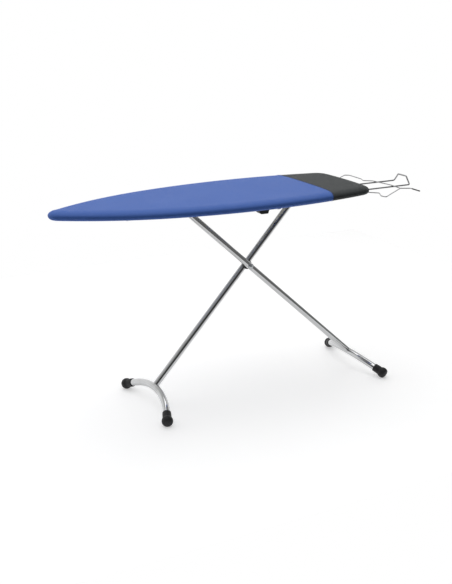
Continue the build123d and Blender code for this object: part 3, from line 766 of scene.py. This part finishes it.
def hem_rows(point, out, wave, fullness):
    rows = []
    start = LIP - HEM_OVERLAP
    for row in range(HEM_ROWS):
        share = row / (HEM_ROWS - 1)
        inset = start + (HEM - 2 * CHANNEL_R - start) * share
        spot = inward(point, out, inset)
        gather = lip_gather(lip_share(inset), wave, fullness)
        rows.append((Vector((spot.x, spot.y, BAND_LOW + gather)), point - out * inset))
    for row in range(1, CHANNEL_ROWS):
        turn = 2 * math.pi * row / CHANNEL_ROWS - math.pi / 2
        inset = HEM - CHANNEL_R + CHANNEL_R * math.cos(turn)
        spot = inward(point, out, inset)
        height = BAND_LOW + CHANNEL_R + CHANNEL_R * math.sin(turn)
        height += wave * fullness * PLEAT_DEPTH * 0.8
        rows.append((Vector((spot.x, spot.y, height)), point - out * (HEM + row * 1.5 * MM)))
    return rows


def hem_mesh():
    points, flats, faces = [], [], []
    step = 2 * SIDE_LENGTH / AROUND
    for index in range(AROUND):
        point, out, _ = edge_at((index + 0.5) * step)
        wave, fullness = PLEATS[index]
        for spot, flat in hem_rows(point, out, wave, fullness):
            points.append(spot)
            flats.append(flat)
    rows = HEM_ROWS + CHANNEL_ROWS - 1
    for index in range(AROUND):
        here, there = index * rows, (index + 1) % AROUND * rows
        for row in range(rows - 1):
            faces.append((here + row, here + row + 1, there + row + 1, there + row))
    mesh = bpy.data.meshes.new("hem")
    mesh.from_pydata(points, [], faces)
    add_flat_map(mesh, flats)
    return mesh


hem = mesh_object("gathered_hem", hem_mesh(), finishes["hem_cloth"])
hem_wall = hem.modifiers.new("tape thickness", "SOLIDIFY")
hem_wall.thickness = HEM_TAPE
hem_wall.offset = 1.0
make_real(hem)

# %% [markdown]
# ## Stitches
# Stitches repeat hundreds of times along a path, which is what Geometry Nodes are for. The tree
# takes a chain of edges, walks along it in steps of one stitch, puts a small rounded stitch at
# each step, turned along the path, and makes the copies real.

# %% Stitch tree
def group_input(tree, name, kind, value):
    socket = tree.interface.new_socket(name=name, in_out="INPUT", socket_type=kind)
    if value is not None:
        socket.default_value = value
    return socket.identifier


class Tree:
    """A Geometry Nodes tree with named inputs, wired by name."""

    def __init__(self, name, inputs):
        self.tree = bpy.data.node_groups.new(name, "GeometryNodeTree")
        self.ids = {"Geometry": group_input(self.tree, "Geometry", "NodeSocketGeometry", None)}
        for label, (kind, value) in inputs.items():
            self.ids[label] = group_input(self.tree, label, kind, value)
        self.tree.interface.new_socket(name="Geometry", in_out="OUTPUT",
                                       socket_type="NodeSocketGeometry")
        self.source = self.tree.nodes.new("NodeGroupInput")

    def given(self, label):
        return self.source.outputs[label]

    def node(self, kind, settings=None, inputs=None, out=0):
        made = self.tree.nodes.new(kind)
        for name, value in (settings or {}).items():
            setattr(made, name, value)
        for name, value in (inputs or {}).items():
            if isinstance(value, bpy.types.NodeSocket):
                self.tree.links.new(value, made.inputs[name])
            else:
                made.inputs[name].default_value = value
        return made.outputs[out]

    def finish(self, instances, material):
        """End the tree: real copies, one material."""
        real = self.node("GeometryNodeRealizeInstances", None, {"Geometry": instances})
        smooth = self.node("GeometryNodeSetShadeSmooth", None, {"Geometry": real})
        done = self.node("GeometryNodeSetMaterial", {}, {"Geometry": smooth, "Material": material})
        end = self.tree.nodes.new("NodeGroupOutput")
        self.tree.links.new(done, end.inputs["Geometry"])

    def run(self, name, base_mesh, values, material):
        """Use the tree on a mesh and return the result as a plain object."""
        piece = bpy.data.objects.new(name, base_mesh)
        bpy.context.collection.objects.link(piece)
        modifier = piece.modifiers.new(name, "NODES")
        modifier.node_group = self.tree
        for label, value in values.items():
            modifier[self.ids[label]] = value
        make_real(piece)
        piece.data.materials.clear()
        piece.data.materials.append(material)
        return piece


def stitch_tree(material):
    tree = Tree("stitches", {"Pitch": ("NodeSocketFloat", 3.2 * MM),
                             "Length": ("NodeSocketFloat", 2.3 * MM),
                             "Thread": ("NodeSocketFloat", 0.34 * MM)})
    path = tree.node("GeometryNodeMeshToCurve", None, {"Mesh": tree.given("Geometry")})
    steps = tree.node("GeometryNodeResampleCurve", {"mode": "LENGTH"},
                      {"Curve": path, "Length": tree.given("Pitch")})
    ball = tree.node("GeometryNodeMeshUVSphere", None, {"Segments": 6, "Rings": 4, "Radius": 1.0})
    half = tree.node("ShaderNodeMath", {"operation": "MULTIPLY"},
                     {0: tree.given("Length"), 1: 0.5})
    size = tree.node("ShaderNodeCombineXYZ", None,
                     {"X": tree.given("Thread"), "Y": tree.given("Thread"), "Z": half})
    stitch = tree.node("GeometryNodeTransform", None, {"Geometry": ball, "Scale": size})
    tangent = tree.node("GeometryNodeInputTangent")
    turn = tree.node("FunctionNodeAlignRotationToVector", {"axis": "Z"}, {"Vector": tangent})
    copies = tree.node("GeometryNodeInstanceOnPoints", None,
                       {"Points": steps, "Instance": stitch, "Rotation": turn})
    tree.finish(copies, material)
    return tree


def chain_mesh(name, points, closed):
    """Points joined one to the next."""
    links = [(index, index + 1) for index in range(len(points) - 1)]
    if closed:
        links.append((len(points) - 1, 0))
    mesh = bpy.data.meshes.new(name)
    mesh.from_pydata(points, links, [])
    return mesh


def section_path(x, lift):
    """Path over the board at one x, from under one edge to under the other, lifted off the cloth."""
    step = 2 * SIDE_LENGTH / AROUND
    sides = []
    for side in (1, -1):
        index = min((i for i in range(AROUND) if side * edge_at((i + 0.5) * step)[0].y > 0),
                    key=lambda i: abs(edge_at((i + 0.5) * step)[0].x - x + SEAM_BOW))
        point, out, _ = edge_at((index + 0.5) * step)
        rows = cover_rows(point, out, 0.0, 0.0)[LIP_ROWS - 2:]
        sides.append([Vector((x + seam_bow(spot.y), spot.y, spot.z)) for spot, _ in rows])
    chain = sides[0] + sides[1][-2::-1]
    lifted = []
    for index, spot in enumerate(chain):
        before, after = chain[max(index - 1, 0)], chain[min(index + 1, len(chain) - 1)]
        away = (after - before).cross(Vector((1, 0, 0))).normalized()
        away = away if away.dot(spot - Vector((x, 0, COVER_LOW + HALF_THICK))) > 0 else -away
        lifted.append(spot + away * lift)
    return lifted


BESIDE_SEAM = 3.0 * MM
SEAM_STITCH_LIFT = 0.42 * MM
HEM_STITCH_LIFT = 0.7 * MM
HEM_PITCH = 3.6 * MM
stitches = stitch_tree(thread_finish)
seam_stitches = []
for letter, shift in (("a", -BESIDE_SEAM), ("b", BESIDE_SEAM)):
    path = chain_mesh("seam_path", section_path(SEAM_X + shift, SEAM_STITCH_LIFT), False)
    seam_stitches.append(stitches.run("seam_stitches_" + letter, path, {}, thread_finish))


def hem_path(inset, lift):
    """Path along the hem's band, on its underside."""
    step = 2 * SIDE_LENGTH / AROUND
    chain = []
    for index in range(AROUND):
        point, out, _ = edge_at((index + 0.5) * step)
        wave, fullness = PLEATS[index]
        spot = inward(point, out, inset)
        gather = lip_gather(lip_share(inset), wave, fullness)
        chain.append(Vector((spot.x, spot.y, BAND_LOW + gather - lift)))
    return chain


hem_chain = chain_mesh("hem_path", hem_path(LIP - 1 * MM, HEM_STITCH_LIFT), True)
hem_stitches = stitches.run("hem_stitches", hem_chain, {"Pitch": HEM_PITCH}, thread_finish)
print("stitches:", [len(piece.data.polygons) // 24 for piece in seam_stitches + [hem_stitches]])

# %% [markdown]
# ## Felt and the steel mesh under it
# Under the cloth lies a pad of felt, and under that the ironing surface itself: a sheet of
# expanded steel, which lets the steam out. Expanded metal is slit and pulled open, so it is a
# net of diamonds. Every second diamond is enough, because neighbours share their strands.

# %% Felt pad
FELT_ROWS = 5
FELT_TOP_ROWS = 8
FELT_STEPS = 500
FELT_INSET = 13.0 * MM
FELT_ROUND = SHOULDER + 4 * MM
FELT_SINK = 0.25 * MM


def felt_mesh():
    low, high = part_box("felt_pad")[0].z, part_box("felt_pad")[1].z
    thick = high - low + LOFT
    step = 2 * SIDE_LENGTH / FELT_STEPS
    points, faces = [], []
    for index in range(FELT_STEPS):
        point, out, _ = edge_at((index + 0.5) * step)
        middle = spine_point(point, out)
        start = point - out * FELT_INSET
        round_to = inward(point, out, FELT_ROUND)
        chain = [(middle, low), (start, low)]
        for row in range(FELT_ROWS):
            turn = math.pi / 2 * (row + 1) / FELT_ROWS
            chain.append((round_to.lerp(start, math.cos(turn)), low + thick * math.sin(turn) ** 1.3))
        top = chain[-1][0]
        for row in range(1, FELT_TOP_ROWS + 1):
            place = top.lerp(middle, row / FELT_TOP_ROWS)
            sink = FELT_SINK * (0.5 + 0.5 * soft_wave(place.x * 2, place.y * 2))
            chain.append((place, high - sink))
        for place, height in chain:
            points.append(Vector((place.x, place.y, height)))
    rows = 2 + FELT_ROWS + FELT_TOP_ROWS
    for index in range(FELT_STEPS):
        here, there = index * rows, (index + 1) % FELT_STEPS * rows
        for row in range(rows - 1):
            faces.append((here + row, there + row, there + row + 1, here + row + 1))
    mesh = bpy.data.meshes.new("felt")
    mesh.from_pydata(points, [], faces)
    shape = bmesh.new()
    shape.from_mesh(mesh)
    bmesh.ops.remove_doubles(shape, verts=shape.verts, dist=MERGE_WITHIN)
    bmesh.ops.recalc_face_normals(shape, faces=shape.faces)
    shape.to_mesh(mesh)
    shape.free()
    return mesh


felt = mesh_object("felt_padding", felt_mesh(), finishes["felt"])
print("felt points:", len(felt.data.vertices))

# %% Expanded steel
DIAMOND_L = 26 * MM
DIAMOND_W = 9.5 * MM
STRAND = 1.5 * MM


def expanded_steel_tree(material):
    """Diamonds laid in rows wherever the plate under them reaches."""
    tree = Tree("expanded_steel", {"Long": ("NodeSocketFloat", DIAMOND_L),
                                   "Short": ("NodeSocketFloat", DIAMOND_W),
                                   "Strand": ("NodeSocketFloat", STRAND),
                                   "Thick": ("NodeSocketFloat", 1.1 * MM),
                                   "Across": ("NodeSocketFloat", 0.5),
                                   "Along": ("NodeSocketFloat", 1.3),
                                   "Columns": ("NodeSocketInt", 40),
                                   "Rows": ("NodeSocketInt", 40),
                                   "Middle": ("NodeSocketVector", (0.0, 0.0, 0.0))})
    grid = tree.node("GeometryNodeMeshGrid", None,
                     {"Size X": tree.given("Along"), "Size Y": tree.given("Across"),
                      "Vertices X": tree.given("Columns"), "Vertices Y": tree.given("Rows")})
    placed = tree.node("GeometryNodeTransform", None,
                       {"Geometry": grid, "Translation": tree.given("Middle")})
    hit = tree.node("GeometryNodeRaycast", None,
                    {"Target Geometry": tree.given("Geometry"),
                     "Ray Direction": (0.0, 0.0, 1.0), "Ray Length": 0.05})
    missed = tree.node("FunctionNodeBooleanMath", {"operation": "NOT"}, {0: hit})
    inside = tree.node("GeometryNodeDeleteGeometry", {"domain": "POINT"},
                       {"Geometry": placed, "Selection": missed})
    ring = tree.node("GeometryNodeCurvePrimitiveQuadrilateral", None,
                     {"Width": 1.0, "Height": 1.0})
    ring_flat = tree.node("GeometryNodeTransform", None,
                          {"Geometry": ring, "Rotation": (0.0, 0.0, math.pi / 4),
                           "Scale": (math.sqrt(0.5), math.sqrt(0.5), 1.0)})
    size = tree.node("ShaderNodeCombineXYZ", None,
                     {"X": tree.given("Long"), "Y": tree.given("Short"), "Z": 1.0})
    diamond = tree.node("GeometryNodeTransform", None, {"Geometry": ring_flat, "Scale": size})
    profile = tree.node("GeometryNodeCurvePrimitiveQuadrilateral", None,
                        {"Width": tree.given("Strand"), "Height": tree.given("Thick")})
    strand = tree.node("GeometryNodeCurveToMesh", None,
                       {"Curve": diamond, "Profile Curve": profile})
    copies = tree.node("GeometryNodeInstanceOnPoints", None,
                       {"Points": inside, "Instance": strand})
    tree.finish(copies, material)
    return tree


def plate_mesh(inset, height):
    """Flat face of the board's outline at an inset."""
    count = 240
    step = 2 * SIDE_LENGTH / count
    points = []
    for index in range(count):
        point, out, _ = edge_at((index + 0.5) * step)
        spot = inward(point, out, inset)
        points.append((spot.x, spot.y, height))
    mesh = bpy.data.meshes.new("plate")
    mesh.from_pydata(points, [], [tuple(range(count))])
    return mesh


sheet_low, sheet_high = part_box("steel_top")
sheet_middle = (sheet_low + sheet_high) / 2
columns = int((sheet_high.x - sheet_low.x) / DIAMOND_L)
rows_across = int((sheet_high.y - sheet_low.y) / DIAMOND_W)
steel = expanded_steel_tree(finishes["grey_enamel"])
mesh_top = steel.run("expanded_steel_top", plate_mesh(17 * MM, sheet_high.z + 5 * MM),
                     {"Along": (columns - 1) * DIAMOND_L, "Across": (rows_across - 1) * DIAMOND_W,
                      "Columns": columns, "Rows": rows_across,
                      "Middle": (sheet_middle.x, 0.0, sheet_middle.z)},
                     finishes["grey_enamel"])
print("expanded steel faces:", len(mesh_top.data.polygons))

# %% [markdown]
# ## Sleeve on the iron rest's tip
# A dark sleeve is pushed over the end of the cross wire, so the cut wire can't snag the cloth.
# It is a short tube of rings with a rounded end, a little fatter than the wire.

# %% Wire sleeve
SLEEVE_SIDES = 16
SLEEVE_RADIUS = 2.6 * MM


def sleeve_mesh(start, end, radius):
    shape = bmesh.new()
    along = (end - start).normalized()
    side = Vector((0, 0, 1))
    other = along.cross(side)
    rings = []
    for share, width in ((0.0, 0.7), (0.03, 1.0), (0.93, 1.0), (0.98, 0.8), (1.0, 0.35)):
        middle = start.lerp(end, share)
        rings.append([shape.verts.new(middle + (side * math.sin(a) + other * math.cos(a))
                                      * radius * width)
                      for a in (math.tau * k / SLEEVE_SIDES for k in range(SLEEVE_SIDES))])
    for near, far in zip(rings, rings[1:]):
        for k in range(SLEEVE_SIDES):
            after = (k + 1) % SLEEVE_SIDES
            shape.faces.new((near[k], near[after], far[after], far[k]))
    shape.faces.new(rings[0])
    shape.faces.new(rings[-1])
    bmesh.ops.recalc_face_normals(shape, faces=shape.faces)
    mesh = bpy.data.meshes.new("sleeve")
    shape.to_mesh(mesh)
    shape.free()
    return mesh


wire_low, wire_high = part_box("rest_cross_wire")
wire_z = (wire_low.z + wire_high.z) / 2
sleeve = mesh_object("wire_tip_sleeve",
                     sleeve_mesh(Vector((END_X + 208 * MM, -140 * MM, wire_z)),
                                 Vector((END_X + 206 * MM, -192 * MM, wire_z)), SLEEVE_RADIUS),
                     finishes["black_plastic"])
print("sleeve:", len(sleeve.data.polygons), "faces")

# %% [markdown]
# ## Everything rides on its body
# Each finished piece moves with a body of the model; where it replaces a plain CAD solid,
# that solid is hidden.

# %% Bodies, and the replaced CAD solids hidden
for piece, nodes, slot in ((blue_cover, ["cover_blue"], "blue_cloth"),
                           (end_cover, ["cover_charcoal"], "charcoal_cloth"),
                           (hem, ["cover_hem"], "hem_cloth"),
                           (felt, ["felt_pad"], "felt"),
                           (mesh_top, ["steel_top"], "grey_enamel"),
                           (hem_stitches, [], "hem_cloth"),
                           (sleeve, [], "black_plastic"),
                           (seam_stitches[0], [], "blue_cloth"),
                           (seam_stitches[1], [], "charcoal_cloth")):
    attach(piece, "board")
    if nodes:
        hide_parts(*nodes)

# %% size of the finished model, and the end
low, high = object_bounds()
